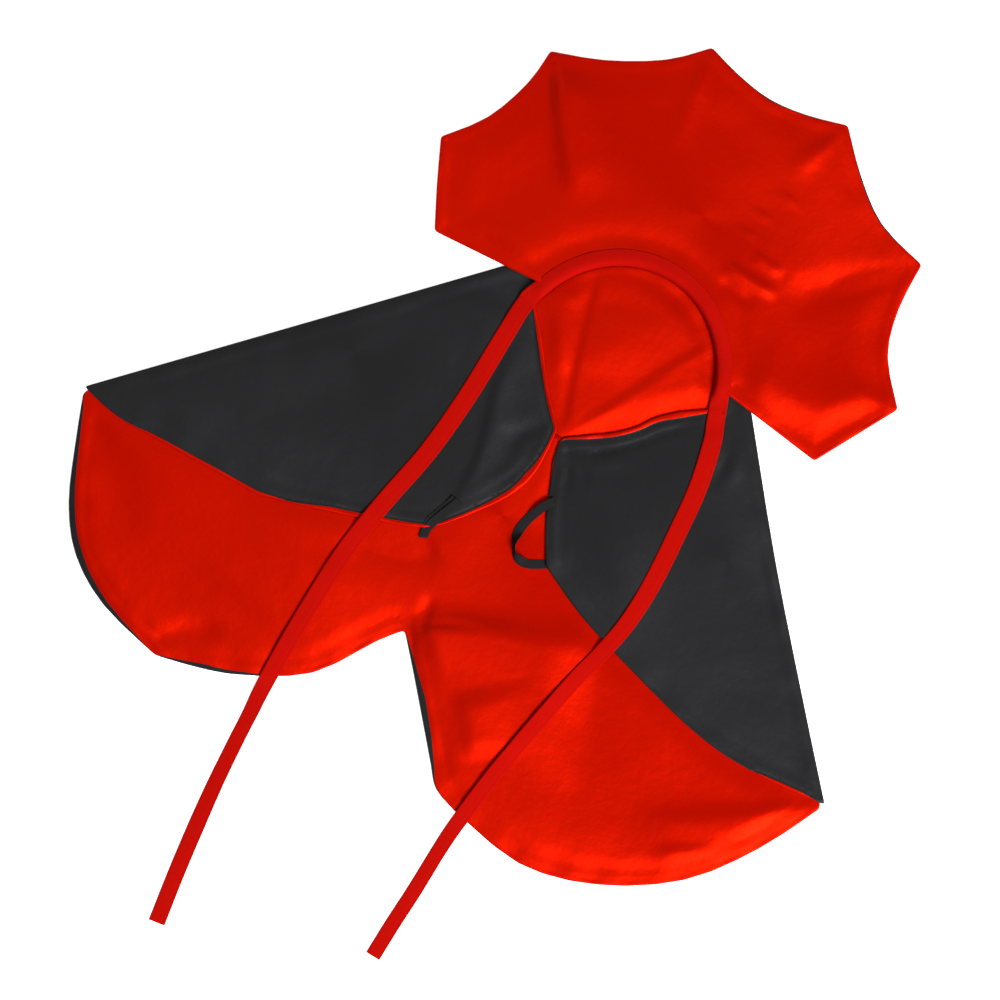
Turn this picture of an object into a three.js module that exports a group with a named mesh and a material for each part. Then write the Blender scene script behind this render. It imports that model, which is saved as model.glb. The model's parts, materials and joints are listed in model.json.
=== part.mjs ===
// A lined satin pet cape with a stand-up scalloped collar, laid flat on its back panel.
//
// Millimetres, +Z up. The origin is the middle of the neck opening, on the surface that the cape lies on.
// +Y runs up the centre back towards the collar, and +X to the cape's right as seen from above.
//
// The back panel lies face down. Both fronts are folded over it along the side folds, and a thread tack
// joins their edges below the neck. The collar opens flat past the neck seam, and a tape binds that seam and
// runs on as the two ties. Each panel is an outer cloth and a lining, and the collar has a stiff interlining
// between them.

import * as THREE from 'three';

const CLOTH = 0.5; // one layer of cloth
const GAP = 0.3; // clearance between layers
const PITCH = CLOTH + GAP;

// Heights of the undersides, from the resting surface up.
const BACK_OUTER_Z = 0;
const BACK_LINING_Z = BACK_OUTER_Z + PITCH;
const FRONT_LINING_Z = BACK_LINING_Z + PITCH;
const FRONT_OUTER_Z = FRONT_LINING_Z + PITCH;
const OVER_FRONTS_Z = FRONT_OUTER_Z + PITCH;
const SHOULDER_SHARE = 0.37; // the share of the collar's depth that lies over the cape's shoulders
const COLLAR_Z = OVER_FRONTS_Z / (1 - SHOULDER_SHARE); // at the neck, so that its slope clears the shoulders
const TAPE_Z = COLLAR_Z + 3 * PITCH;

// The neck opening is the upper part of an ellipse.
const NECK_CENTRE = [-1.8, -26];
const NECK_HALF_WIDTH = 60;
const NECK_HEIGHT = 66;
const TAPE_WIDTH = 10;
const SEAM_INSET = TAPE_WIDTH / 2; // from the tape's inner edge to the neck seam
const SHOULDER_ANGLE = 0.6; // where the side folds reach the neck seam
const FRONT_TOP_ANGLE = 0.27; // where the fronts' neck edges end
const COLLAR_END_ANGLE = 0.375;
const TAPE_END_ANGLE = 0.27;
const TAPE_RAMP_ANGLE = 0.34; // the tape has climbed onto the collar here
const NECK_SAMPLE_ANGLE = 0.1;
const TAPE_SAMPLE_ANGLE = Math.PI / 64;

const RIBBON_THICKNESS = 0.6;
const TIE_WIDTH = TAPE_WIDTH;
const LOOP_WIDTH = 5.5;
const TIE_STEPS = 64;
const LEFT_LOOP_STEPS = 48;
const RIGHT_LOOP_STEPS = 32;
const TACK = { x: -9.9, y: -72.5, length: 4.6, width: 3, round: 1.2 };

const RED_SATIN = { color: '#c40600', roughness: 0.42, metalness: 0 };
const BLACK_SATIN = { color: '#2a2a2a', roughness: 0.4, metalness: 0 };
const INTERLINING = { color: '#e6e2d8', roughness: 0.95, metalness: 0 };
const RED_TAPE = { color: '#c8140e', roughness: 0.8, metalness: 0 };
const BLACK_RIBBON = { color: '#262626', roughness: 0.6, metalness: 0 };
const RED_THREAD = { color: '#b5120c', roughness: 0.8, metalness: 0 };

const LEFT_CORNER = [-265, -188];
const RIGHT_CORNER = [235, -179];
const HEM_NOTCH = [-30, -216];
const COLLAR_RIGHT_END = [127, -8];

// A point of the neck ellipse, outset from the tape's inner edge. Angle 0 is the right-hand end.
function neckPoint(angle, outset) {
  const x = NECK_CENTRE[0] + (NECK_HALF_WIDTH + outset) * Math.cos(angle);
  const y = NECK_CENTRE[1] + (NECK_HEIGHT + outset) * Math.sin(angle);
  return [x, y];
}

function neckSeam(from, to) {
  const count = Math.round(Math.abs(to - from) / NECK_SAMPLE_ANGLE);
  const points = [];
  for (let i = 0; i <= count; i += 1) {
    points.push(neckPoint(from + ((to - from) * i) / count, SEAM_INSET));
  }
  return points;
}

// Joins stretches into one list of points. A stretch is a smooth curve through its points, or a straight
// line between two.
function joined(stretches, samplesPerSpan = 3) {
  const points = [];
  for (const stretch of stretches) {
    const curve = new THREE.SplineCurve(stretch.map(([x, y]) => new THREE.Vector2(x, y)));
    const divisions = stretch.length === 2 ? 1 : (stretch.length - 1) * samplesPerSpan;
    points.push(...curve.getPoints(divisions).slice(0, -1));
  }
  return points;
}

// The cape's edges, each drawn once and shared by the panels that meet there.
const leftShoulderFold = [[-88, -1], [-73, 9], neckPoint(Math.PI - SHOULDER_ANGLE, SEAM_INSET)];
const rightShoulderFold = [neckPoint(SHOULDER_ANGLE, SEAM_INSET), [69, 8], [81, -2.5]];
const leftSideFold = [LEFT_CORNER, leftShoulderFold[0]];
const rightSideFold = [rightShoulderFold[2], [137, -70], [195, -135], RIGHT_CORNER];

function backOutline() {
  return joined([
    neckSeam(Math.PI - SHOULDER_ANGLE, SHOULDER_ANGLE),
    rightShoulderFold,
    rightSideFold,
    [RIGHT_CORNER, [215, -220], [186, -259], [143, -287.5], [97, -300], [47, -292]],
    [[47, -292], [33, -287], [24, -277]],
    [[24, -277], [-11, -237], HEM_NOTCH],
    [HEM_NOTCH, [-41, -230], [-64, -265], [-98, -286.5], [-122, -296], [-149, -303]],
    [[-149, -303], [-190, -293], [-219, -276], [-238, -252], [-252, -221], LEFT_CORNER],
    leftSideFold,
    leftShoulderFold,
  ]);
}

function leftFrontOutline() {
  const neckEnd = neckPoint(Math.PI - FRONT_TOP_ANGLE, SEAM_INSET);
  return joined([
    [LEFT_CORNER, [-241, -193], [-215, -193], [-145, -191]],
    [[-145, -191], [-103, -178], [-61, -163]],
    [[-61, -163], [-43, -152], [-16, -115], [-10.5, -91], [-13, -68.5]],
    [[-13, -68.5], [-25.5, -57.5], [-37, -44.5], [-46.5, -31.5], [-60.5, -14]],
    [[-60.5, -14], neckEnd],
    neckSeam(Math.PI - FRONT_TOP_ANGLE, Math.PI - SHOULDER_ANGLE),
    [...leftShoulderFold].reverse(),
    [...leftSideFold].reverse(),
  ]);
}

function rightFrontOutline() {
  const neckEnd = neckPoint(FRONT_TOP_ANGLE, SEAM_INSET);
  return joined([
    [neckEnd, [58.5, -13.5]],
    [[58.5, -13.5], [37, -32.5], [28, -45.5], [14, -58.5], [-7, -71.5]],
    [[-7, -71.5], [-8, -75]],
    [[-8, -75], [-5.5, -86], [-1, -96], [8.5, -118], [22, -141]],
    [[22, -141], [55, -156], [102, -170], [147, -181], [185, -184], RIGHT_CORNER],
    [...rightSideFold].reverse(),
    [...rightShoulderFold].reverse(),
    neckSeam(SHOULDER_ANGLE, FRONT_TOP_ANGLE),
  ]);
}

// The collar's free edge, from its left end to its right: five concave scallops between straight ends.
function collarEdge() {
  const points = joined([
    [[-134, -5], [-147, 20], [-159, 45]],
    [[-159, 45], [-141, 69], [-131, 98], [-129, 121]],
    [[-129, 121], [-99, 132.5], [-68, 151], [-48, 171]],
    [[-48, 171], [-26, 165], [-3, 162], [20, 165], [44, 172]],
    [[44, 172], [66, 150], [91, 132], [123, 123.5]],
    [[123, 123.5], [124.5, 94], [133, 67], [154, 43]],
    [[154, 43], COLLAR_RIGHT_END],
  ]);
  return [...points, new THREE.Vector2(...COLLAR_RIGHT_END)];
}

function finish(name, geometry, material) {
  const mesh = new THREE.Mesh(geometry, new THREE.MeshStandardMaterial(material));
  mesh.name = name;
  return mesh;
}

// A flat cut of cloth, lying at a height.
function panel(name, outline, height, material) {
  const shape = new THREE.Shape(outline);
  const geometry = new THREE.ExtrudeGeometry(shape, { depth: CLOTH, bevelEnabled: false });
  const mesh = finish(name, geometry, material);
  mesh.position.z = height;
  return mesh;
}

// A closed sheet of cloth on a grid of points: its underside is the grid, and its top is the grid raised.
function gridSheet(rows) {
  const width = rows[0].length;
  const under = rows.flat();
  const top = under.map((point) => new THREE.Vector3(point.x, point.y, point.z + CLOTH));
  const points = [...under, ...top];
  const faces = [];
  const quad = (a, b, c, d) => faces.push(a, c, b, a, d, c);
  for (let row = 0; row < rows.length - 1; row += 1) {
    for (let column = 0; column < width - 1; column += 1) {
      const a = row * width + column;
      const c = a + width + 1;
      quad(a, a + 1, c, c - 1);
      quad(a + under.length, c - 1 + under.length, c + under.length, a + 1 + under.length);
    }
  }
  const wall = (a, b) => quad(b, a, a + under.length, b + under.length);
  const last = (rows.length - 1) * width;
  for (let column = 0; column < width - 1; column += 1) {
    wall(column, column + 1);
    wall(last + column + 1, last + column);
  }
  for (let row = 0; row < rows.length - 1; row += 1) {
    wall((row + 1) * width, row * width);
    wall(row * width + width - 1, (row + 1) * width + width - 1);
  }
  const geometry = new THREE.BufferGeometry().setFromPoints(points);
  geometry.setIndex(faces);
  return geometry;
}

// One layer of the collar, ruled from the neck seam to the free edge. It slopes down over the cape's
// shoulders, and the lowest layer's free edge meets the resting surface.
function collarLayer(name, index, material) {
  const edge = collarEdge();
  const lengths = [0];
  for (let i = 1; i < edge.length; i += 1) {
    lengths.push(lengths[i - 1] + edge[i].distanceTo(edge[i - 1]));
  }
  const total = lengths[lengths.length - 1];
  const start = Math.PI - COLLAR_END_ANGLE;
  const lift = index * PITCH;
  const row = (share, height) => edge.map((outer, i) => {
    const [x, y] = neckPoint(start + ((COLLAR_END_ANGLE - start) * lengths[i]) / total, SEAM_INSET);
    return new THREE.Vector3(x + (outer.x - x) * share, y + (outer.y - y) * share, height + lift);
  });
  return finish(name, gridSheet([row(0, COLLAR_Z), row(1, 0)]), material);
}

// A flat ribbon along a smooth route, with chamfered edges.
function ribbon(name, route, width, steps, material) {
  const thick = RIBBON_THICKNESS / 2;
  const half = width / 2;
  const chamfer = thick / 2;
  const section = new THREE.Shape([
    new THREE.Vector2(thick, half - chamfer),
    new THREE.Vector2(thick - chamfer, half),
    new THREE.Vector2(chamfer - thick, half),
    new THREE.Vector2(-thick, half - chamfer),
    new THREE.Vector2(-thick, chamfer - half),
    new THREE.Vector2(chamfer - thick, -half),
    new THREE.Vector2(thick - chamfer, -half),
    new THREE.Vector2(thick, chamfer - half),
  ]);
  const extrudePath = new THREE.CatmullRomCurve3(route.map((point) => new THREE.Vector3(...point)));
  const geometry = new THREE.ExtrudeGeometry(section, { steps, bevelEnabled: false, extrudePath });
  return finish(name, geometry, material);
}

// The binding tape follows the neck seam on top of the collar, and comes down to the fronts at both ends.
function neckTape() {
  const sweep = Math.PI - 2 * TAPE_END_ANGLE;
  const count = Math.round(sweep / TAPE_SAMPLE_ANGLE);
  const row = (outset) => {
    const points = [];
    for (let i = 0; i <= count; i += 1) {
      const angle = Math.PI - TAPE_END_ANGLE - (sweep * i) / count;
      const fromEnd = Math.min(angle, Math.PI - angle);
      const climb = THREE.MathUtils.smoothstep(fromEnd, TAPE_END_ANGLE, TAPE_RAMP_ANGLE);
      const height = OVER_FRONTS_Z + (TAPE_Z - OVER_FRONTS_Z) * climb;
      points.push(new THREE.Vector3(...neckPoint(angle, outset), height));
    }
    return points;
  };
  return finish('neck_tape', gridSheet([row(0), row(TAPE_WIDTH)]), RED_TAPE);
}

// Heights of a ribbon's middle where it lies on the fronts, on the back lining and on the resting surface.
const ON_FRONT = OVER_FRONTS_Z + RIBBON_THICKNESS / 2;
const ON_LINING = BACK_LINING_Z + PITCH + RIBBON_THICKNESS / 2;
const ON_TABLE = GAP + RIBBON_THICKNESS / 2;

const leftTieRoute = [
  [-65.8, -9, ON_FRONT],
  [-67, -20, ON_FRONT],
  [-67.3, -41, ON_FRONT],
  [-68, -79, ON_FRONT],
  [-71.3, -118, ON_FRONT],
  [-77.7, -152, ON_FRONT],
  [-81.5, -175, ON_FRONT],
  [-83.8, -192, ON_LINING],
  [-85, -215, ON_LINING],
  [-85.5, -250, ON_LINING],
  [-84.9, -286, ON_LINING],
  [-83.6, -304, ON_TABLE],
  [-82.3, -325, ON_TABLE],
  [-79.7, -356, ON_TABLE],
  [-74.3, -400, ON_TABLE],
  [-68.5, -438, ON_TABLE],
];

const rightTieRoute = [
  [61.8, -8.7, ON_FRONT],
  [65.7, -19, ON_FRONT],
  [69.6, -29, ON_FRONT],
  [75.8, -56, ON_FRONT],
  [79, -87, ON_FRONT],
  [81.2, -118, ON_FRONT],
  [80.5, -145, ON_FRONT],
  [76.5, -168, ON_FRONT],
  [71.5, -187, ON_LINING],
  [66.5, -212, ON_LINING],
  [61.5, -240, ON_LINING],
  [57.2, -268, ON_LINING],
  [54, -299, ON_LINING],
  [53, -317, ON_TABLE],
  [52.5, -345, ON_TABLE],
  [51.5, -368, ON_TABLE],
  [51, -390.5, ON_TABLE],
];

const rightLoopRoute = [
  [3.4, -112, ON_LINING],
  [1.1, -117.3, ON_LINING],
  [-1, -124, ON_LINING],
  [-2, -130.5, ON_LINING],
  [-1.4, -136, ON_LINING],
  [0, -140.5, ON_LINING],
  [2.5, -143.9, ON_LINING],
  [6.4, -145.9, ON_LINING],
  [11.8, -145.7, ON_LINING],
  [16.6, -143.4, ON_LINING],
  [20.8, -140.9, ON_LINING],
];

// The left loop is pressed flat on the front: one leg down past the hem, a tight fold, and the other leg
// back on top of it.
const FOLD_RISE = 1.3;
const ON_LEG = ON_FRONT + FOLD_RISE;
const leftLoopRoute = [
  [-43.5, -134, ON_FRONT],
  [-45.5, -140, ON_FRONT],
  [-48, -147, ON_FRONT],
  [-50, -153.5, ON_FRONT],
  [-49.9, -158.5, ON_FRONT],
  [-48.6, -162.2, ON_FRONT],
  [-48.1, -163.6, (ON_FRONT + ON_LEG) / 2],
  [-48.6, -162.2, ON_LEG],
  [-49.2, -158.3, ON_LEG],
  [-47.8, -152.5, ON_LEG],
  [-45.4, -146, ON_LEG],
  [-42.9, -139.6, ON_LEG],
  [-41, -134.3, ON_LEG],
];

// A short bar of thread that holds the two front edges together.
function closureTack() {
  const { length, width, round } = TACK;
  const right = length / 2 - round;
  const top = width / 2 - round;
  const section = new THREE.Shape();
  section.absarc(-right, top, round, Math.PI, Math.PI / 2, true);
  section.absarc(right, top, round, Math.PI / 2, 0, true);
  section.absarc(right, -top, round, 0, -Math.PI / 2, true);
  section.absarc(-right, -top, round, -Math.PI / 2, -Math.PI, true);
  const depth = FRONT_OUTER_Z + CLOTH - FRONT_LINING_Z;
  const geometry = new THREE.ExtrudeGeometry(section, { depth, bevelEnabled: false });
  const mesh = finish('closure_tack', geometry, RED_THREAD);
  mesh.position.set(TACK.x, TACK.y, FRONT_LINING_Z);
  return mesh;
}

const cape = new THREE.Group();
cape.add(panel('back_outer', backOutline(), BACK_OUTER_Z, BLACK_SATIN));
cape.add(panel('back_lining', backOutline(), BACK_LINING_Z, RED_SATIN));
cape.add(panel('left_front_lining', leftFrontOutline(), FRONT_LINING_Z, RED_SATIN));
cape.add(panel('left_front_outer', leftFrontOutline(), FRONT_OUTER_Z, BLACK_SATIN));
cape.add(panel('right_front_lining', rightFrontOutline(), FRONT_LINING_Z, RED_SATIN));
cape.add(panel('right_front_outer', rightFrontOutline(), FRONT_OUTER_Z, BLACK_SATIN));
cape.add(closureTack());
cape.add(ribbon('tie_left', leftTieRoute, TIE_WIDTH, TIE_STEPS, RED_TAPE));
cape.add(ribbon('tie_right', rightTieRoute, TIE_WIDTH, TIE_STEPS, RED_TAPE));

const leftLoop = new THREE.Group();
leftLoop.add(ribbon('left_loop', leftLoopRoute, LOOP_WIDTH, LEFT_LOOP_STEPS, BLACK_RIBBON));
cape.add(leftLoop);

const rightLoop = new THREE.Group();
rightLoop.add(ribbon('right_loop', rightLoopRoute, LOOP_WIDTH, RIGHT_LOOP_STEPS, BLACK_RIBBON));
cape.add(rightLoop);

const collar = new THREE.Group();
collar.add(collarLayer('collar_back', 0, BLACK_SATIN));
collar.add(collarLayer('collar_interlining', 1, INTERLINING));
collar.add(collarLayer('collar_face', 2, RED_SATIN));
collar.add(neckTape());
cape.add(collar);

export default cape;
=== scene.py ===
"""The satin pet cape laid flat, as soft sheets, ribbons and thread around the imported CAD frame.

Shapes are worked out in millimetres and made in metres. Every cloth panel is a pair of sheets, an
upper and a lower cloth, that meet along the panel's edge. Heights come from one function per panel,
so that the layers never cross.
"""

import json
import math

import bpy
import numpy as np
from mathutils import Matrix, Vector
from mathutils.geometry import delaunay_2d_cdt
from mathutils.kdtree import KDTree

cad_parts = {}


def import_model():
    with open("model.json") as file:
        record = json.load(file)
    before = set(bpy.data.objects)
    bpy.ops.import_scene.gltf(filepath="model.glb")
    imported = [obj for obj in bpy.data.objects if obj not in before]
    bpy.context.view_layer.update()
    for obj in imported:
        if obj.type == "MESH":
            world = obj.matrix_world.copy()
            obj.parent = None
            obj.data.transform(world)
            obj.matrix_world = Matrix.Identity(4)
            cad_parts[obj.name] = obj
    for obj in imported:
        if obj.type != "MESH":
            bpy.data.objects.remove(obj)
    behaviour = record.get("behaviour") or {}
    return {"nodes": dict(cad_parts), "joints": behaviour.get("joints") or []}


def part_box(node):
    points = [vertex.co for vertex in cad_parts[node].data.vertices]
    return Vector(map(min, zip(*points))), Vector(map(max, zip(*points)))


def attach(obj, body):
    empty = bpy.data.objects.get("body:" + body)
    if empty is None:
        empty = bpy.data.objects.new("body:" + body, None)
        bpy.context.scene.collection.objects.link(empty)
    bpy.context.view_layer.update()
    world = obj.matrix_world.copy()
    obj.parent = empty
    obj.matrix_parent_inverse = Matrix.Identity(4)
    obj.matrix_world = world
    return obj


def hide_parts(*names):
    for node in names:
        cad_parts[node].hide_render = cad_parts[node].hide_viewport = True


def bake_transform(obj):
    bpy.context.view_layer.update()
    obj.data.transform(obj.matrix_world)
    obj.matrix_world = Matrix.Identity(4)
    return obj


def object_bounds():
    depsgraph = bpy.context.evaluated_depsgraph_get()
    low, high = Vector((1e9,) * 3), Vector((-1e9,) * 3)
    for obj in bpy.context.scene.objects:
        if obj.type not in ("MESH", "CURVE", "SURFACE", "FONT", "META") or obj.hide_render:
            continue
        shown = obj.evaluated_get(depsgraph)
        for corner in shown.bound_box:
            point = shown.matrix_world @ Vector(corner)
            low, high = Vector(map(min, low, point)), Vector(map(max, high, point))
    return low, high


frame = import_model()
CAD_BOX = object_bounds()

MM = 0.001
PER_SPAN = 6  # samples of a fold's curve between two of its points


# ---------------- small tools


def smoothstep(low, high, value):
    t = np.clip((value - low) / (high - low), 0, 1)
    return t * t * (3 - 2 * t)


def catmull(points, per_span):
    """A smooth open curve through the points."""
    p = np.array(points, float)
    ends = np.vstack([2 * p[0] - p[1], p, 2 * p[-1] - p[-2]])
    out = []
    for i in range(len(p) - 1):
        a, b, c, d = ends[i : i + 4]
        second = 2 * a - 5 * b + 4 * c - d
        third = 3 * b - a - 3 * c + d
        for t in np.arange(per_span) / per_span:
            out.append(0.5 * (2 * b + (c - a) * t + second * t**2 + third * t**3))
    return np.array(out + [p[-1]])


def lengths_along(points):
    return np.concatenate([[0], np.cumsum(np.linalg.norm(np.diff(points, axis=0), axis=1))])


def respaced(points, count):
    along = lengths_along(points)
    at = np.linspace(0, along[-1], count)
    return np.stack([np.interp(at, along, points[:, k]) for k in range(points.shape[1])], axis=1)


def unit(vectors):
    return vectors / np.linalg.norm(vectors, axis=1)[:, None]


def level_sides(flat):
    """The level direction to the left of a path, at each of its points."""
    tangent = unit(np.gradient(flat, axis=0))
    return np.column_stack([-tangent[:, 1], tangent[:, 0], np.zeros(len(flat))])


def to_segment(p, a, b):
    """(distance from the segment between a and b, share of the way along it) for each point."""
    span = b - a
    t = np.clip((p - a) @ span / (span @ span), 0, 1)
    return np.linalg.norm(p - a - t[:, None] * span, axis=1), t


def softened_loop(loop, sigma):
    """A closed loop with its corners rounded by a Gaussian of sigma samples."""
    reach = int(4 * sigma) + 1
    weights = np.exp(-0.5 * (np.arange(-reach, reach + 1) / sigma) ** 2)
    weights /= weights.sum()
    return sum(w * np.roll(loop, k, axis=0) for k, w in zip(range(-reach, reach + 1), weights))


def ripples(p, seed, wavelengths, height):
    """Gentle random undulation: a few plane waves of fixed seed."""
    rng = np.random.default_rng(seed)
    z = np.zeros(len(p))
    for wavelength in wavelengths:
        angle = rng.uniform(0, math.tau)
        phase = rng.uniform(0, math.tau)
        bend = rng.uniform(0.3, 0.9)
        u = p[:, 0] * math.cos(angle) + p[:, 1] * math.sin(angle)
        v = -p[:, 0] * math.sin(angle) + p[:, 1] * math.cos(angle)
        wobble = bend * np.sin(math.tau * v / (1.7 * wavelength) + phase)
        z += np.sin(math.tau * u / wavelength + phase + wobble)
    return height * z / math.sqrt(len(wavelengths))


def fold(p, path, height, left, right=None, ends=(0.12, 0.25)):
    """A fold along a path: a ridge, or a hollow where height is negative.

    left and right are its widths on either side of the path, each a number or (start, end). ends are
    the shares of its length over which it fades in and out.
    """
    line = catmull(path, PER_SPAN)
    run = lengths_along(line)
    best = np.full(len(p), np.inf)
    side = np.zeros(len(p))
    along = np.zeros(len(p))
    for k, (a, b) in enumerate(zip(line[:-1], line[1:])):
        far, t = to_segment(p, a, b)
        near = far < best
        best[near] = far[near]
        span, rel = b - a, p[near] - a
        side[near] = (span[0] * rel[:, 1] - span[1] * rel[:, 0]) >= 0
        along[near] = (run[k] + t[near] * (run[k + 1] - run[k])) / run[-1]
    widths = []
    for width in (left, left if right is None else right):
        start, end = width if isinstance(width, tuple) else (width, width)
        widths.append(start + (end - start) * along)
    width = np.where(side > 0, widths[0], widths[1])
    fade = smoothstep(0, ends[0], along) * smoothstep(0, ends[1], 1 - along)
    return height * fade * np.exp(-0.5 * (best / width) ** 2)


def mound(p, centre, height, along, across, turn=0.0):
    """A low rounded swelling, or a hollow where height is negative, turned by degrees."""
    a = math.radians(turn)
    rel = p - np.array(centre, float)
    u = rel[:, 0] * math.cos(a) + rel[:, 1] * math.sin(a)
    v = -rel[:, 0] * math.sin(a) + rel[:, 1] * math.cos(a)
    return height * np.exp(-0.5 * ((u / along) ** 2 + (v / across) ** 2))


# ---------------- outlines


class Outline:
    """A closed outline, anticlockwise, with depths measured inwards from it."""

    STEP = 1.5

    def __init__(self, points, soften=1.2):
        closed = np.vstack([points, points[:1]])
        count = int(lengths_along(closed)[-1] / self.STEP)
        loop = respaced(closed, count + 1)[:-1]
        self.loop = softened_loop(loop, soften / self.STEP)
        tangent = unit(np.roll(self.loop, -1, axis=0) - np.roll(self.loop, 1, axis=0))
        self.inward = np.stack([-tangent[:, 1], tangent[:, 0]], axis=1)
        self.tree = KDTree(len(self.loop))
        for i, (x, y) in enumerate(self.loop):
            self.tree.insert((x, y, 0), i)
        self.tree.balance()

    def locate(self, p):
        """(depth inside the outline, index of the nearest outline sample) for each point."""
        index = np.array([self.tree.find((x, y, 0))[1] for x, y in p], int)
        best = np.full(len(p), np.inf)
        count = len(self.loop)
        for i, j in ((index - 1, index), (index, (index + 1) % count)):
            a, b = self.loop[i % count], self.loop[j]
            d = b - a
            t = np.clip(((p - a) * d).sum(1) / np.maximum((d * d).sum(1), 1e-12), 0, 1)
            best = np.minimum(best, np.linalg.norm(p - a - t[:, None] * d, axis=1))
        inside = ((p - self.loop[index]) * self.inward[index]).sum(1) > 0
        return np.where(inside, best, -best), index

    def along(self, keys):
        """A value for each outline sample, from (x, y, value) keys given in order round the outline."""
        at = np.array([self.tree.find((x, y, 0))[1] for x, y, _ in keys])
        values = np.array([value for _, _, value in keys], float)
        order = np.argsort(at)
        count = len(self.loop)
        return np.interp(np.arange(count), at[order], values[order], period=count)


def cad_outline(node):
    """The outline of a CAD sheet's upper side, anticlockwise, in millimetres."""
    mesh = frame["nodes"][node].data

    def key(i):
        """A corner in whole micrometres, so that the corners that faces share are the same."""
        co = mesh.vertices[i].co
        return (round(co.x * 1e6), round(co.y * 1e6))

    directed = set()
    for polygon in mesh.polygons:
        if polygon.normal.z > 0.3:
            corners = [key(i) for i in polygon.vertices]
            directed.update(zip(corners, corners[1:] + corners[:1]))
    follows = {a: b for a, b in directed if (b, a) not in directed}
    start = min(follows)
    loop = [start]
    while follows[loop[-1]] != start:
        loop.append(follows[loop[-1]])
    return np.array(loop, float) / 1000


# ---------------- meshes

# Rings of points follow a panel's edge: some at shares of the turned edge's width, and the rest at
# distances inside it.
RING_SHARES = (0.12, 0.35, 0.7, 1.0)
RING_STEPS = (0.8, 1.8, 3.2, 5.2, 7.6)
RING_LEAST_TURN = 1.2
FULL_RINGS = 5  # the rings inside these have half as many points
RING_TO_GRID = 1.0
RIM_DEPTH = 1e-3  # points less deep than this are on the outline


def new_mesh(name, points_mm, faces, material):
    mesh = bpy.data.meshes.new(name)
    mesh.from_pydata((np.asarray(points_mm) * MM).tolist(), [], [list(map(int, f)) for f in faces])
    mesh.validate()
    mesh.polygons.foreach_set("use_smooth", [True] * len(mesh.polygons))
    mesh.materials.append(material)
    mesh.update()
    obj = bpy.data.objects.new(name, mesh)
    bpy.context.scene.collection.objects.link(obj)
    return obj


def triangulated(outline, wrap, spacing):
    """Points and triangles that fill an outline, with rings of points that follow its edge."""
    rings = [outline.loop]
    turned = np.maximum(np.abs(wrap), RING_LEAST_TURN)
    insets = [turned * share for share in RING_SHARES]
    insets += [turned + step for step in RING_STEPS]
    for inset in insets:
        ring = outline.loop + outline.inward * inset[:, None]
        if len(rings) > FULL_RINGS:
            ring, inset = ring[::2], inset[::2]
        # points that have come near another part of the edge are left out
        depth, _ = outline.locate(ring)
        rings.append(ring[depth > 0.93 * inset])
    low, high = outline.loop.min(0), outline.loop.max(0)
    rows = np.arange(low[1], high[1], spacing * math.sqrt(3) / 2)
    columns = np.arange(low[0], high[0], spacing)
    grid = np.array([(x + (i % 2) * spacing / 2, y) for i, y in enumerate(rows) for x in columns])
    depth, index = outline.locate(grid)
    rings.append(grid[depth > turned[index] + (RING_STEPS[-1] + RING_TO_GRID)])
    points = np.vstack(rings)
    count = len(outline.loop)
    edges = [(i, (i + 1) % count) for i in range(count)]
    found = delaunay_2d_cdt([Vector(p) for p in points], edges, [], 1, 1e-4)
    return np.array([(v.x, v.y) for v in found[0]]), np.array(found[2], int)


class Panel:
    """Two cloths joined round an edge. heights gives (underside, top) at points of known depth.

    wrap says, for each outline sample, how far the lower cloth shows on the upper side. Where it is
    negative, the upper cloth is turned under instead.
    """

    def __init__(self, outline, wrap, heights, spacing=2.6):
        self.outline, self.wrap, self.heights = outline, wrap, heights
        self.flat, self.faces = triangulated(outline, wrap, spacing)
        self.depth, self.index = outline.locate(self.flat)
        self.depth = np.maximum(self.depth, 0)
        self.under, self.top = heights(self.flat, self.depth, self.index)

    def cloths(self, upper_name, upper_material, lower_name, lower_material):
        count = len(self.flat)
        rim = self.depth < RIM_DEPTH
        points = np.vstack([np.column_stack([self.flat, z]) for z in (self.top, self.under)])
        low = np.where(rim, np.arange(count), np.arange(count) + count)
        middle = self.flat[self.faces].mean(axis=1)
        depth, index = self.outline.locate(middle)
        wrap = self.wrap[index]
        upper_side, lower_side = self.faces, low[self.faces][:, ::-1]
        upper = np.vstack([upper_side[depth >= wrap], lower_side[depth < -wrap]])
        lower = np.vstack([upper_side[depth < wrap], lower_side[depth >= -wrap]])
        return [
            new_mesh(name, *used(points, faces), material)
            for name, faces, material in (
                (upper_name, upper, upper_material),
                (lower_name, lower, lower_material),
            )
        ]

    def top_at(self, p):
        depth, index = self.outline.locate(p)
        return np.where(depth > 0, self.heights(p, np.maximum(depth, 0), index)[1], -1.0)


def used(points, faces):
    """Only the points that the faces use, and the faces renumbered."""
    keep, renumbered = np.unique(faces, return_inverse=True)
    return points[keep], renumbered.reshape(faces.shape)


def strip(name, path, sides, ups, sections, material):
    """A closed ribbon: a section of (across, up) points at each point of a path, with filled ends."""
    rings = [
        p + np.outer(section[:, 0], s) + np.outer(section[:, 1], u)
        for p, s, u, section in zip(path, sides, ups, sections)
    ]
    points = np.vstack(rings)
    n = len(sections[0])
    faces = []
    for k in range(len(path) - 1):
        for i in range(n):
            j = (i + 1) % n
            faces.append((k * n + i, k * n + j, (k + 1) * n + j, (k + 1) * n + i))
    faces.append(tuple(range(n - 1, -1, -1)))
    faces.append(tuple((len(path) - 1) * n + i for i in range(n)))
    obj = new_mesh(name, points, faces, material)
    for cap in obj.data.polygons[-2:]:
        cap.use_smooth = False
    return obj


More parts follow.
